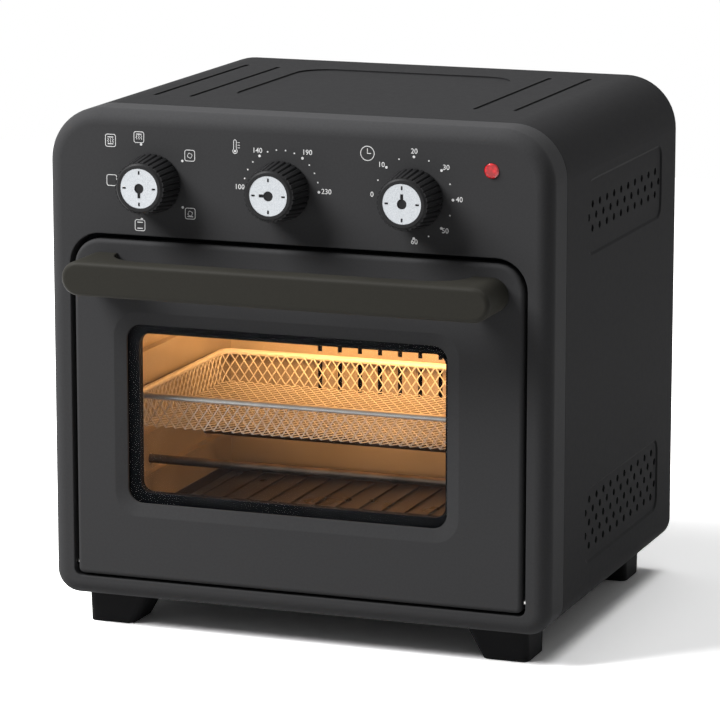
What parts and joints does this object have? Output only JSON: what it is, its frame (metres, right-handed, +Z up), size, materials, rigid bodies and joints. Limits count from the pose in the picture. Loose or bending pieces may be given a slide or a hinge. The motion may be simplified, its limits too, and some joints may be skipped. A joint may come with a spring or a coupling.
{
  "type": "air fryer oven",
  "caption": "Countertop air fryer oven: rounded dark body on feet, drop-down glass door with bar handle, dials above it, lit cavity with a wire basket and crumb tray.",
  "frame": {"origin": "on the table under the middle of the whole object, handle included", "axes": "X to the right seen from the front, the door faces -Y, Z up"},
  "size_m": [0.37, 0.344, 0.373],
  "materials": {
    "charcoal_moulding": "fine matte moulded texture",
    "painted_sheet": "dark satin powder coat",
    "black_rubber_plastic": "matte",
    "handle_plastic": "fine matte moulded texture",
    "knob_plastic": "satin black",
    "silver_disc": "satin",
    "bright_steel": "polished",
    "cavity_steel": "satin",
    "galvanised_sheet": "galvanised",
    "element_steel": "satin",
    "white_ceramic": "glazed",
    "lamp_glass": "clear",
    "door_glass": "clear, tinted",
    "black_frame": "satin black enamel",
    "motor_iron": "laminated",
    "bronze": "sintered",
    "mechanism_plastic": "moulded",
    "red_lens": "clear red"
  },
  "bodies": {
    "oven": {"front_bezel": "charcoal_moulding", "outer_wrap": "painted_sheet", "back_panel": "painted_sheet", "back_panel_screws": "bright_steel", "cord_bushing": "black_rubber_plastic", "bottom_plate": "painted_sheet", "front_feet": "black_rubber_plastic", "rear_feet": "black_rubber_plastic", "foot_screws": "bright_steel", "cavity_front_frame": "cavity_steel", "cavity_left_wall": "cavity_steel", "cavity_right_wall": "cavity_steel", "cavity_back_wall": "cavity_steel", "cavity_ceiling": "cavity_steel", "cavity_floor": "cavity_steel", "upper_element_front": "element_steel", "upper_element_rear": "element_steel", "lower_element_front": "element_steel", "lower_element_rear": "element_steel", "element_insulators": "white_ceramic", "oven_lamp_base": "white_ceramic", "oven_lamp_glass": "lamp_glass", "fan_guard": "cavity_steel", "fan_housing": "galvanised_sheet", "motor_stator": "motor_iron", "motor_bracket": "galvanised_sheet", "motor_top_bridge": "galvanised_sheet", "motor_bearings": "bronze", "control_bracket": "galvanised_sheet", "bracket_screws": "bright_steel", "selector_switch": "mechanism_plastic", "thermostat": "mechanism_plastic", "timer_movement": "mechanism_plastic", "indicator_lens": "red_lens", "indicator_holder": "mechanism_plastic"},
    "door": {"door_panel": "charcoal_moulding", "door_glass": "door_glass", "door_inner_frame": "black_frame", "door_handle": "handle_plastic", "handle_screws": "bright_steel", "hinge_pin_left": "bright_steel", "hinge_pin_right": "bright_steel", "door_arm_left": "galvanised_sheet", "door_arm_right": "galvanised_sheet"},
    "basket": {"basket_rim": "bright_steel", "basket_mesh": "bright_steel"},
    "crumb_tray": {"crumb_tray": "galvanised_sheet"},
    "fan": {"fan_impeller": "galvanised_sheet", "cooling_blade": "galvanised_sheet", "fan_shaft": "bright_steel", "motor_rotor": "motor_iron"},
    "function_dial": {"function_knob": "knob_plastic", "function_knob_disc": "silver_disc", "function_shaft": "bright_steel"},
    "temperature_dial": {"temperature_knob": "knob_plastic", "temperature_knob_disc": "silver_disc", "temperature_shaft": "bright_steel"},
    "timer_dial": {"timer_knob": "knob_plastic", "timer_knob_disc": "silver_disc", "timer_shaft": "bright_steel"}
  },
  "joints": [
    {"name": "door_hinge", "type": "hinge", "parent": "oven", "child": "door", "pos_m": [0, -0.123, 0.0463], "axis": [1, 0, 0], "range_deg": [0, 85]},
    {"name": "basket_slide", "type": "slide", "parent": "oven", "child": "basket", "axis": [0, -1, 0], "range_m": [0, 0.2005]},
    {"name": "crumb_tray_slide", "type": "slide", "parent": "oven", "child": "crumb_tray", "axis": [0, -1, 0], "range_m": [0, 0.0405]},
    {"name": "fan_spin", "type": "hinge", "parent": "oven", "child": "fan", "pos_m": [-0.0085, 0.005, 0.3], "axis": [0, 0, 1], "continuous": true},
    {"name": "function_dial_turn", "type": "hinge", "parent": "oven", "child": "function_dial", "pos_m": [-0.105, -0.13, 0.3229], "axis": [0, -1, 0], "range_deg": [-18, 270]},
    {"name": "temperature_dial_turn", "type": "hinge", "parent": "oven", "child": "temperature_dial", "pos_m": [-0.0095, -0.13, 0.3229], "axis": [0, -1, 0], "range_deg": [-180, 0]},
    {"name": "timer_dial_turn", "type": "hinge", "parent": "oven", "child": "timer_dial", "pos_m": [0.087, -0.13, 0.3229], "axis": [0, -1, 0], "range_deg": [-180, 90]}
  ],
  "couplings": [
    {"joint": "basket_slide", "follows": "door_hinge", "m_per_rad": 0.13481},
    {"joint": "crumb_tray_slide", "follows": "door_hinge", "m_per_rad": 0.02696}
  ]
}
